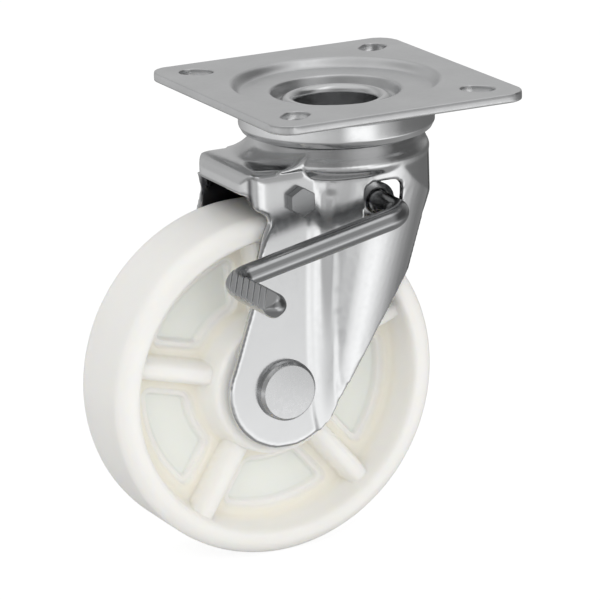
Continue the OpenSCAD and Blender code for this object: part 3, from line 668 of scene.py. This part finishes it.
@dataclass
class ForkAndAxle:
    """Pressed fork with its bracket, bolts, sleeve and spacers, in millimetres."""

    axle_x: float = -41.5
    axle_z: float = -124.5
    leg_outer: float = 26.5
    leg_inner: float = 23.3
    apron_under: float = -31.7
    apron_front: float = -56.5
    cone_top_x: float = 4.1
    cone_top_z: float = -40.0
    cone_slope: float = 0.194
    cone_radius: float = 36.9
    cone_taper: float = 0.095
    valley_width: float = 2.0
    valley_back: Pair = (7.0, 4.5)
    valley_front: Pair = (7.5, 4.0)
    valley_top: Pair = (-38.0, -43.0)
    head_radius: float = 13.25
    shank_radius: float = 6.0
    FAR_EDGE: ClassVar[tuple[Pair, ...]] = (
        (-54.8, -38.2), (-53.9, -42.6), (-53.4, -45.1), (-54.1, -48.4), (-55.1, -51.8),
        (-56.0, -54.6), (-56.6, -58.0), (-56.6, -66.0), (-55.6, -76.0), (-54.0, -84.0),
        (-50.0, -84.0), (-44.0, -62.0), (-44.0, -38.2),
    )

    def build(self) -> None:
        """Builds and dresses the fork's pieces."""
        fork = softened("fork", voxel=0.78, passes=6, joined=self.far_wall())
        self.ease_valley(fork)
        self.mark_inner_shade(fork)
        dress(fork, "fork", FORK_ZINC, ["fork"])
        for node, voxel, passes, slot, finish in (
            ("brake_bracket", 0.6, 2, "zinc_sheet", BRACKET_ZINC),
            ("brake_pivot_bolt", 0.24, 1, "bright_steel", HEX_ZINC),
            ("brake_pivot_nut", 0.24, 1, "bright_steel", HEX_ZINC),
            ("axle_nut", 0.4, 2, "bright_steel", BOLT_ZINC),
        ):
            dress(softened(node, voxel, passes), "fork", finish, [node])
        self.axle_bolt()
        for node in ("axle_washer", "axle_sleeve", "right_spacer", "left_spacer"):
            dress(frame["nodes"][node], "fork", BOLT_ZINC)
        for side in Side:
            node = f"{side.name.lower()}_bearing_inner"
            dress(frame["nodes"][node], "fork", RACE_STEEL)

    def far_wall(self) -> Object:
        """Apron's far wall where it runs on down into the leg, as a flat sheet.

        Returns:
            The sheet, which is joined to the fork.
        """
        outline = np.array(self.FAR_EDGE)
        middle = outline.mean(axis=0)
        across = np.array([self.leg_inner, self.leg_outer])
        rows = np.empty((2, len(outline), 3))
        rows[..., 0], rows[..., 1], rows[..., 2] = outline[:, 0], across[:, None], outline[:, 1]
        ends = (np.array([middle[0], across[0], middle[1]]), np.array([middle[0], across[1], middle[1]]))
        return grid_object("far_wall", rows, poles=ends)

    def ease_valley(self, fork: Object) -> None:
        """Draws the crease between leg and flank as one hollow curve.

        The outside's distance from the leg's face becomes the larger of the leg's, which is 0, and the
        cone's: the root of its radius squared less the distance from its axis squared, less the leg's.
        The two are blended softly, and the change fades out to both sides.

        Args:
            fork: the pressed sheet.
        """
        place, normal = point_rows(fork.data), point_rows(fork.data, "normal")
        x, y, z = place.T / MM
        drop = z - self.cone_top_z
        centre = self.cone_top_x + drop * self.cone_slope
        radius = self.cone_radius + drop * self.cone_taper
        join = centre - np.sqrt(np.maximum(radius**2 - self.leg_outer**2, 0.0))
        cone = np.sqrt(np.maximum(radius**2 - (x - centre) ** 2, 0.0)) - self.leg_outer
        aim = self.leg_outer + soft_max(np.zeros(len(cone)), cone, self.valley_width)
        outside = smooth_step(0.3, 0.6, normal[:, 1] * np.sign(y))
        back, front = self.valley_back, self.valley_front
        share = outside * smooth_step(join - back[0], join - back[1], x)
        share *= smooth_step(join + front[0], join + front[1], x)
        share *= smooth_step(*self.valley_top, z) * (radius > self.leg_outer)
        place[:, 1] += ((aim - np.abs(y)) * share * np.sign(y) * MM).astype(np.float32)
        fork.data.vertices.foreach_set("co", place.ravel())
        fork.data.update()

    def mark_inner_shade(self, fork: Object) -> None:
        """Marks the apron's inside, whose colour is darkened to near black: a painted shade for the dark
        between the walls.

        Args:
            fork: the pressed sheet.
        """
        x, y, z = point_rows(fork.data).T / MM
        beside = smooth_step(self.leg_outer - 1.2, self.leg_inner + 0.4, np.abs(y))
        under = smooth_step(self.apron_under + 1.4, self.apron_under, z)
        behind = smooth_step(self.apron_front + 1.6, self.apron_front + 3.0, x)
        # the inner attribute places the painted shade of the apron's inside
        mark_points(fork.data, "inner", beside * under * behind)

    def axle_bolt(self) -> None:
        """Turns the axle bolt: a flat face, a rounded bevel, the head's rim and the shank."""
        low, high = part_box("axle_bolt")
        start, end = low.y / MM, high.y / MM
        rim = -self.leg_outer
        face = self.head_radius - 1.45
        outer = rounded(
            [
                (0.0, start, 0.0),
                (face, start, 0.5),
                (self.head_radius - 0.35, start + 1.5, 0.7),
                (self.head_radius, rim - 0.9, 0.5),
                (self.head_radius - 0.5, rim, 0.2),
                (self.shank_radius, rim, 0.3),
                (self.shank_radius, end, 0.8),
                (0.0, end, 0.0),
            ]
        )
        bolt = turned("axle_bolt_turned", outer, (self.axle_x, 0, self.axle_z), "Y", 144)
        dress(bolt, "fork", BOLT_ZINC, ["axle_bolt"])


# Wheel


@dataclass
class CastorWheel:
    """One-piece moulded wheel, in millimetres."""

    centre_x: float = -41.5
    centre_z: float = -124.5
    radius: float = 75.0
    half_width: float = 21.5
    shoulder: float = 6.5
    hub_half: float = 21.0
    seat_radius: float = 17.52
    seat_floor: float = 9.0
    bore_radius: float = 14.5
    web_half: float = 6.0
    pane_half: float = 1.6
    rib_half_width: float = 5.2
    rib_crest: float = 16.0
    rib_count: int = 5
    first_rib: float = 93.6
    pocket_inner: float = 34.5
    pocket_outer: float = 57.8
    pocket_margin: float = 9.0
    pocket_corner: float = 5.0
    pocket_upper: Pair = (0.5, -0.7)
    pocket_lower: Pair = (-2.4, -3.4)
    upper_share: float = 0.45
    rib_fillet: float = 1.4
    rib_start: Pair = (28.5, 31.0)
    rib_end: Pair = (64.0, 66.0)
    web_start: Pair = (30.5, 32.5)
    web_end: Pair = (62.0, 64.5)
    segments: int = 600

    def build(self) -> None:
        """Builds the wheel and dresses the bearings in its hub."""
        profile = self.side_profile()
        radii, heights = profile[:, 0], profile[:, 1]
        angle = np.linspace(0, 2 * np.pi, self.segments, endpoint=False)
        height, thin, crease = self.relief(radii[:, None], heights[:, None], angle[None, :])
        tread_r, tread_y = self.tread_profile()
        bore_r, bore_y = self.bore_profile()
        flat = np.ones(self.segments)
        rows_r = np.concatenate([bore_r, radii, tread_r, radii[::-1]])
        rows_y = np.concatenate(
            [bore_y[:, None] * flat, height, tread_y[:, None] * flat, -height[::-1]]
        )
        blank_bore = np.zeros((len(bore_r), self.segments))
        blank_tread = np.zeros((len(tread_r), self.segments))
        points = np.stack(
            [
                self.centre_x + rows_r[:, None] * np.cos(angle),
                rows_y,
                self.centre_z + rows_r[:, None] * np.sin(angle),
            ],
            -1,
        )
        low, high = (np.array(corner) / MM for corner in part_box("wheel"))
        wheel = grid_object("moulded_wheel", np.clip(points, low, high), wrap_rows=True)
        # the thin and crease masks place the nylon's painted shades
        for name, side_values in (("thin", thin), ("crease", crease)):
            values = np.concatenate([blank_bore, side_values, blank_tread, side_values[::-1]])
            mark_points(wheel.data, name, values)
        dress(wheel, "wheel", IVORY_NYLON, ["wheel"])
        for side in Side:
            where = side.name.lower()
            dress(frame["nodes"][f"{where}_bearing_outer"], "wheel", RACE_STEEL)
            dress(frame["nodes"][f"{where}_bearing_shield"], "wheel", SHIELD_BLACK)
            dress(frame["nodes"][f"{where}_bearing_balls"], "wheel_balls", RACE_STEEL)

    def side_profile(self) -> np.ndarray:
        """Radius and height of the plain side, from the bearing seat out to the tread's shoulder."""
        half = self.half_width
        hub = np.array(
            [
                (self.seat_radius, self.hub_half - 0.4),
                (self.seat_radius + 0.4, self.hub_half),
                (22.0, self.hub_half),
                (27.4, self.hub_half),
                (28.6, 20.8), (29.4, 20.2), (29.9, 19.2), (30.2, 17.0), (30.5, 14.0),
                (30.8, 11.0), (31.2, 8.8), (31.8, 7.3), (32.7, 6.4),
            ]
        )
        web = np.linspace(33.6, 60.6, 37)
        middle = np.stack([web, np.full(len(web), self.web_half)], 1)
        rim = np.array(
            [
                (61.4, 6.15), (62.2, 6.6), (62.9, 7.6), (63.4, 9.2), (63.8, 11.6),
                (64.1, 14.2), (64.4, 17.0), (64.7, 19.0), (65.2, 20.4), (65.9, 21.2),
                (66.9, half),
            ]
        )
        turn = np.radians(np.linspace(90, 0, 9))
        shoulder = np.stack(
            [
                self.radius - self.shoulder + self.shoulder * np.cos(turn),
                half - self.shoulder + self.shoulder * np.sin(turn),
            ],
            1,
        )
        return np.concatenate([hub, middle, rim, shoulder])

    def tread_profile(self) -> tuple[np.ndarray, np.ndarray]:
        """Radius and width across the tread, a flat band between the shoulders."""
        width = np.linspace(self.half_width - self.shoulder - 2, -(self.half_width - self.shoulder - 2), 7)
        return np.full(len(width), self.radius), width

    def bore_profile(self) -> tuple[np.ndarray, np.ndarray]:
        """Radius and width through the hub: seat, shoulder, bore, shoulder and seat."""
        deep = self.seat_floor
        radius = [self.seat_radius, self.seat_radius, self.bore_radius, self.bore_radius]
        width = [-self.hub_half + 1.5, -deep, -deep, -deep + 1]
        rows = radius + radius[::-1]
        across = width + [-w for w in width[::-1]]
        return np.array(rows), np.array(across)

    def relief(
        self, radius: np.ndarray, plain: np.ndarray, angle: np.ndarray
    ) -> tuple[np.ndarray, np.ndarray, np.ndarray]:
        """Height of one side with its ribs and pockets.

        A rib's height falls from its crest as the square root of one less the distance over the
        half width to the power of three. A pocket is a rounded field between hub, rim and ribs: its
        frame slopes down in two steps to the pane.

        Args:
            radius: distance from the axle, as a column.
            plain: height of the plain side, as a column.
            angle: angle round the axle from +X towards +Z, as a row.

        Returns:
            The height, how thin the wall is from 0 to 1, and how deep in a crease the place is; the last
            two place the painted shades.
        """
        step = 2 * np.pi / self.rib_count
        first = math.radians(self.first_rib)
        offset = np.mod(angle - first + step / 2, step) - step / 2
        beside = radius * np.abs(np.sin(offset))
        share = np.clip(1 - (beside / self.rib_half_width) ** 3.0, 0, 1)
        crest = self.rib_crest - self.web_half
        rib = self.web_half + crest * share**0.5 - 3.0 * (beside > self.rib_half_width)
        web_zone = smooth_step(*self.web_start, radius) * (1 - smooth_step(*self.web_end, radius))
        blended = soft_max(plain, rib, self.rib_fillet)
        raised = (blended - plain) * smooth_step(*self.rib_start, radius)
        height = plain + raised * (1 - smooth_step(*self.rib_end, radius))
        half_band = (self.pocket_outer - self.pocket_inner) / 2
        middle = (self.pocket_outer + self.pocket_inner) / 2
        across = np.abs(radius - middle) - half_band + self.pocket_corner
        along = self.pocket_margin - beside + self.pocket_corner
        field = (
            np.hypot(np.maximum(across, 0), np.maximum(along, 0))
            + np.minimum(np.maximum(across, along), 0)
            - self.pocket_corner
        )
        upper = smooth_step(*self.pocket_upper, field)
        lower = smooth_step(*self.pocket_lower, field)
        drop = self.web_half - self.pane_half
        depth = self.upper_share * upper + (1 - self.upper_share) * lower
        height = height - drop * depth * web_zone
        # painted shade mask: the thin panes at the pockets' floors
        thin = lower * web_zone
        # painted shade mask: low places around the ribs' feet and the pockets' frames
        crease = web_zone * np.clip(1 - upper, 0, 1) * smooth_step(12.0, 6.5, height)
        return height, thin, crease


# Brake


@dataclass
class SideBrake:
    """Bent rod lever, clip, shoe and spring, in millimetres."""

    rod_x: float = 6.983
    rod_z: float = -49.269
    rod_radius: float = 4.75
    bend_radius: float = 8.75
    arm_y: float = -48.0
    arm_length: float = 84.6
    slope: float = 11.8
    tread_length: float = 41.2
    tread_radius: float = 5.25
    tread_flat: float = 3.2
    flat_turn: float = 28.0
    groove_count: int = 7
    groove_pitch: float = 5.3
    groove_start: float = 6.0
    groove_skew: float = 50.0
    groove_depth: float = 0.78
    far_end: float = 27.9
    clip_groove: Pair = (24.5, 25.6)
    clip_depth: float = 0.8
    end_bevel: float = 0.6
    cam_angle: float = 57.2
    cam_flat: float = 2.75
    cam_half: float = 16.0
    segments: int = 112
    cap_steps: int = 24

    def build(self) -> None:
        """Builds and dresses the brake."""
        dress(self.lever(), "brake_lever", ROD_ZINC, ["brake_lever"])
        dress(frame["nodes"]["lever_clip"], "brake_lever", SPRING_WIRE)
        shoe = softened("brake_shoe", voxel=0.5, passes=2)
        dress(shoe, "brake_shoe", INNER_ZINC, ["brake_shoe"])
        dress(frame["nodes"]["shoe_spring"], "brake_shoe", SPRING_WIRE)

    def path(self) -> np.ndarray:
        """Centre line of the rod in its own flat plane, closer where grooves and steps are.

        Returns:
            Points in X and Y, from the shaft's far end to the tread bar's end.
        """
        bend, arm, turn = self.bend_radius, self.arm_length, self.arm_y + self.bend_radius
        quarter = np.radians(np.linspace(0, 90, 20))
        fine = np.radians(np.linspace(0, 90, 60))
        tip = self.arm_y - self.tread_length
        start, stop = self.clip_groove
        edges = [self.far_end, self.far_end - 0.6, stop + 0.1, stop, start, start - 0.1]
        edges += [self.cam_half + 0.1, self.cam_half, -self.cam_half, -self.cam_half - 0.1]
        shaft_y = np.sort(np.concatenate([edges, np.linspace(start - 2.0, turn + 0.6, 31)]))[::-1]
        shaft = np.stack([np.zeros(len(shaft_y)), shaft_y], 1)
        near = np.stack([-bend + bend * np.cos(quarter), turn - bend * np.sin(quarter)], 1)
        span = np.stack([np.linspace(-bend - 1, -arm + bend + 1, 30), np.full(30, self.arm_y)], 1)
        far = np.stack([-arm + bend - bend * np.sin(fine), self.arm_y - bend + bend * np.cos(fine)], 1)
        bar = np.stack([np.full(200, -arm), np.linspace(self.arm_y - bend - 0.4, tip, 200)], 1)
        return np.concatenate([shaft, near, span, far, bar])

    def lever(self) -> Object:
        """Sweeps a circle along the rod's line.

        Each point is the line's point plus side times cosine and height times sine of the angle. Past
        the second bend the surface is cut off at the tread's grooved flat, and on the cross shaft at
        the cam's flat.

        Returns:
            The lever.
        """
        line = self.path()
        direction = np.gradient(line, axis=0)
        direction /= np.linalg.norm(direction, axis=1)[:, None]
        side = np.stack([direction[:, 1], -direction[:, 0]], 1)
        bar_start = self.arm_y - self.bend_radius - 1.5
        grow = smooth_step(0, 3.0, bar_start - line[:, 1]) * (line[:, 0] < -self.arm_length + 0.01)
        start, stop = self.clip_groove
        grooved = (line[:, 1] > start - 0.01) & (line[:, 1] < stop + 0.01)
        thicker = (self.tread_radius - self.rod_radius) * grow
        radius = self.rod_radius + thicker - self.clip_depth * grooved
        radius[0] -= self.end_bevel
        turn = np.linspace(0, 2 * np.pi, self.segments, endpoint=False)
        cap = np.radians(np.linspace(4, 84, self.cap_steps))
        line = np.concatenate([line, line[-1] + np.stack([0 * cap, -self.tread_radius * np.sin(cap)], 1)])
        side = np.concatenate([side, np.repeat(side[-1:], len(cap), 0)])
        radius = np.concatenate([radius, self.tread_radius * np.cos(cap)])
        out = radius[:, None] * np.cos(turn)
        x = line[:, 0, None] + side[:, 0, None] * out
        y = line[:, 1, None] + side[:, 1, None] * out
        x, up = self.tread_cut(x, y, radius[:, None] * np.sin(turn))
        slope = math.radians(self.slope)
        px = x * math.cos(slope) - up * math.sin(slope)
        pz = x * math.sin(slope) + up * math.cos(slope)
        px, pz = self.cam_cut(px, y, pz)
        low, high = (np.array(corner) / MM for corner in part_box("brake_lever"))
        points = np.clip(np.stack([px + self.rod_x, y, pz + self.rod_z], -1), low, high)
        first = np.array([self.rod_x, self.far_end, self.rod_z])
        last = np.array(
            [
                self.rod_x - self.arm_length * math.cos(slope),
                max(self.arm_y - self.tread_length - self.tread_radius, low[1]),
                self.rod_z - self.arm_length * math.sin(slope),
            ]
        )
        return grid_object("bent_lever", points, poles=(first, last))

    def tread_cut(self, x: np.ndarray, y: np.ndarray, up: np.ndarray) -> tuple[np.ndarray, np.ndarray]:
        """Presses the leaning flat with its slanting grooves into the tread bar and its bend.

        A place's height over the bar's axis, square to the flat, is held under the flat by a soft
        limit: the limit less the softness times the log of one plus e to the excess.

        Args:
            x: places along the arm, from the cross shaft's axis.
            y: places along the cross shaft.
            up: heights over the rod's plane.

        Returns:
            The new x and height.
        """
        lean, skew = math.radians(self.flat_turn), math.radians(self.groove_skew)
        across = x + self.arm_length
        height = up * math.cos(lean) - across * math.sin(lean)
        beside = up * math.sin(lean) + across * math.cos(lean)
        place = (self.arm_y - self.groove_start - y) * math.cos(skew) + beside * math.sin(skew)
        gap = self.groove_pitch * math.cos(skew)
        nearest = np.clip(np.round(place / gap), 0, self.groove_count - 1) * gap
        groove = np.maximum(self.groove_depth - np.abs(place - nearest), 0.0)
        limit = self.tread_flat - groove + 4.0 * smooth_step(self.arm_y + 2.0, self.arm_y + 4.0, y)
        soft = 0.22
        pressed = limit - soft * np.log1p(np.exp(np.clip((limit - height) / soft, -30, 30)))
        inside = (across < self.tread_radius) & (y < self.arm_y + 4.0)
        height = np.where(inside, pressed, height)
        return (
            beside * math.cos(lean) - height * math.sin(lean) - self.arm_length,
            beside * math.sin(lean) + height * math.cos(lean),
        )

    def cam_cut(self, x: np.ndarray, y: np.ndarray, z: np.ndarray) -> tuple[np.ndarray, np.ndarray]:
        """Pushes what lies beyond the cam's flat back onto it.

        Args:
            x: places across the rod, from its centre.
            y: places along the rod.
            z: heights, from its centre.

        Returns:
            The new x and z.
        """
        lean = math.radians(self.cam_angle)
        away = (math.cos(lean), math.sin(lean))
        reach = x * away[0] + z * away[1]
        near = (np.abs(y) < self.cam_half) & (np.abs(x) < 2 * self.rod_radius)
        short = np.maximum(np.where(near, -self.cam_flat - reach, 0.0), 0.0)
        return x + short * away[0], z + short * away[1]


# Studio


@dataclass
class Studio:
    """Camera as fitted to the view, soft lamps, pale floor and world."""

    azimuth: float = -26.67
    elevation: float = 15.9
    roll: float = -1.75
    distance: float = 1910.27
    focal_pixels: float = 4412.91
    shift_pixels: Pair = (41.77, -6.02)
    target: Triple = (0.0, 0.0, -95.0)
    image: float = 600.0
    sensor: float = 36.0
    floor_z: float = -199.5
    floor_gap: float = 0.2
    floor_reach: float = 6000.0
    floor_tone: float = 0.92
    floor_glow: float = 1.1
    floor_share: float = 0.82
    soft_level: float = 0.60
    FLOOR_LEVEL: ClassVar[float] = 0.36
    BRIGHTEST: ClassVar[float] = 1.6
    BANDS: ClassVar[tuple[tuple[float, float, tuple[Pair, ...]], ...]] = (
        (
            -0.68,
            -0.52,
            (
                (-180, 0.5), (-90, 0.62), (-76, 1.3), (-58, 1.5),
                (-34, 0.9), (-12, 0.45), (12, 0.24), (180, 0.5),
            ),
        ),
        (
            -0.315,
            -0.285,
            (
                (-180, 1.0), (-150, 0.9), (-112, 0.6), (-98, 1.5), (-78, 1.5),
                (-65, 0.75), (-34, 0.22), (50, 0.16), (120, 0.7), (180, 1.0),
            ),
        ),
        (
            -0.12,
            0.0,
            (
                (-180, 0.45), (-118, 0.25), (-88, 0.52), (-64, 0.55), (-40, 0.12),
                (0, 0.12), (62, 0.6), (84, 0.44), (115, 0.6), (150, 0.36), (180, 0.45),
            ),
        ),
        (0.62, 0.78, ((-180, 0.75), (-100, 0.75), (-72, 1.5), (-40, 0.75), (180, 0.75))),
    )

    def build(self) -> None:
        """Builds camera, floor, lamps and world."""
        self.camera()
        self.floor()
        self.lamps()
        self.world()
        bpy.context.scene.view_settings.view_transform = "Standard"

    def camera(self) -> None:
        """Places the camera: back along azimuth and elevation, rolled about its own axis."""
        az, el, roll = (math.radians(v) for v in (self.azimuth, self.elevation, self.roll))
        back = Vector((math.sin(az) * math.cos(el), -math.cos(az) * math.cos(el), math.sin(el)))
        level = Vector((math.cos(az), math.sin(az), 0.0))
        rise = back.cross(level)
        right = level * math.cos(roll) + rise * math.sin(roll)
        up = rise * math.cos(roll) - level * math.sin(roll)
        data = bpy.data.cameras.new("view")
        data.sensor_width = self.sensor
        data.sensor_fit = "HORIZONTAL"
        data.lens = self.focal_pixels * self.sensor / self.image
        data.shift_x = -self.shift_pixels[0] / self.image
        data.shift_y = self.shift_pixels[1] / self.image
        data.clip_end = 20.0
        camera = link_object("view", data)
        place = (Vector(self.target) + back * self.distance) * MM
        turn = Matrix((right, up, back)).transposed().to_4x4()
        camera.matrix_world = Matrix.Translation(place) @ turn
        bpy.context.scene.camera = camera

    def floor(self) -> None:
        """Lays a large pale floor that keeps the object's shadow."""
        mesh = bpy.data.meshes.new("floor")
        reach = self.floor_reach * MM
        z = self.floor_z * MM - self.floor_gap * MM
        corners = [(-reach, -reach, z), (reach, -reach, z), (reach, reach, z), (-reach, reach, z)]
        mesh.from_pydata(corners, [], [(0, 1, 2, 3)])
        floor = link_object("floor", mesh)
        board = Board(bpy.data.materials.new("floor_white"))
        lit = board.add("ShaderNodeBsdfDiffuse", Color=(*[self.floor_tone] * 3, 1.0))
        white = board.add("ShaderNodeEmission", Color=WHITE, Strength=self.floor_glow)
        path = board.add("ShaderNodeLightPath")
        seen = board.operate("MULTIPLY", path.outputs["Is Camera Ray"], self.floor_share)
        mesh.materials.append(board.finish(board.fade(seen, lit, white)))
        floor.visible_glossy = False

    def lamps(self) -> None:
        """Hangs three soft lamps: a key at the upper left, a fill at the right and one overhead."""
        for name, place, size, power in (
            ("key", (-0.9, -1.3, 0.9), 1.7, 10.0),
            ("fill", (1.1, -1.2, 0.2), 1.3, 6.0),
            ("top", (0.1, 0.2, 1.5), 1.4, 6.0),
        ):
            data = bpy.data.lights.new(name, "AREA")
            data.shape = "SQUARE"
            data.size = size
            data.energy = power
            lamp = link_object(name, data)
            aim = Vector(self.target) * MM - Vector(place)
            turn = aim.to_track_quat("-Z", "Y").to_matrix().to_4x4()
            lamp.matrix_world = Matrix.Translation(Vector(place)) @ turn
            lamp.visible_glossy = False

    def world(self) -> None:
        """Lights all round softly, shows white to the camera and a grey room to glossy rays."""
        world = bpy.data.worlds.new("studio")
        bpy.context.scene.world = world
        board = Board(world, "ShaderNodeOutputWorld")
        soft = board.add("ShaderNodeBackground", Color=WHITE, Strength=self.soft_level)
        white = board.add("ShaderNodeBackground", Color=WHITE, Strength=1.0)
        color = self.room_color(board)
        room = board.add("ShaderNodeBackground", Color=color, Strength=self.BRIGHTEST)
        path = board.add("ShaderNodeLightPath")
        glossy = board.fade(path.outputs["Is Glossy Ray"], soft, room)
        clear = board.operate("MAXIMUM", path.outputs["Is Camera Ray"], path.outputs["Is Transmission Ray"])
        board.finish(board.fade(clear, glossy, white))

    def room_color(self, board: Board) -> Socket:
        """Brightness of the room's walls by direction, in bands from the floor to the ceiling.

        Args:
            board: the world's board.

        Returns:
            The colour's socket.
        """
        where = board.add("ShaderNodeTexCoord")
        way = board.add("ShaderNodeSeparateXYZ", Vector=where.outputs["Generated"])
        azimuth = board.operate("ARCTAN2", way.outputs["Y"], way.outputs["X"])
        share = board.remap(azimuth, -math.pi, math.pi)
        level = (self.FLOOR_LEVEL / self.BRIGHTEST,) * 3
        for start, end, stops in self.BANDS:
            rise = board.remap(way.outputs["Z"], start, end)
            level = board.mix(rise, level, self.ramp(board, share, stops))
        return level

    def ramp(self, board: Board, share: Socket, stops: Sequence[Pair]) -> Socket:
        """Grey levels at azimuths, joined by straight lines.

        Args:
            board: the world's board.
            share: the azimuth from -180 to 180 degrees as 0 to 1.
            stops: azimuth in degrees and grey level, in order.

        Returns:
            The ramp's colour.
        """
        node = board.add("ShaderNodeValToRGB", Fac=share)
        elements = node.color_ramp.elements
        while len(elements) < len(stops):
            elements.new(0.5)
        for element, (azimuth, level) in zip(elements, stops):
            element.position = (azimuth + 180) / 360
            element.color = (*[level / self.BRIGHTEST] * 3, 1.0)
        return node.outputs["Color"]


def main() -> None:
    """Builds the castor and its studio."""
    logging.basicConfig(level=logging.INFO, format="%(name)s: %(message)s")
    for assembly in (SwivelHead(), ForkAndAxle(), CastorWheel(), SideBrake(), Studio()):
        LOG.info("building %s", type(assembly).__name__)
        assembly.build()
    bpy.context.view_layer.update()


if __name__ == "__main__":
    main()
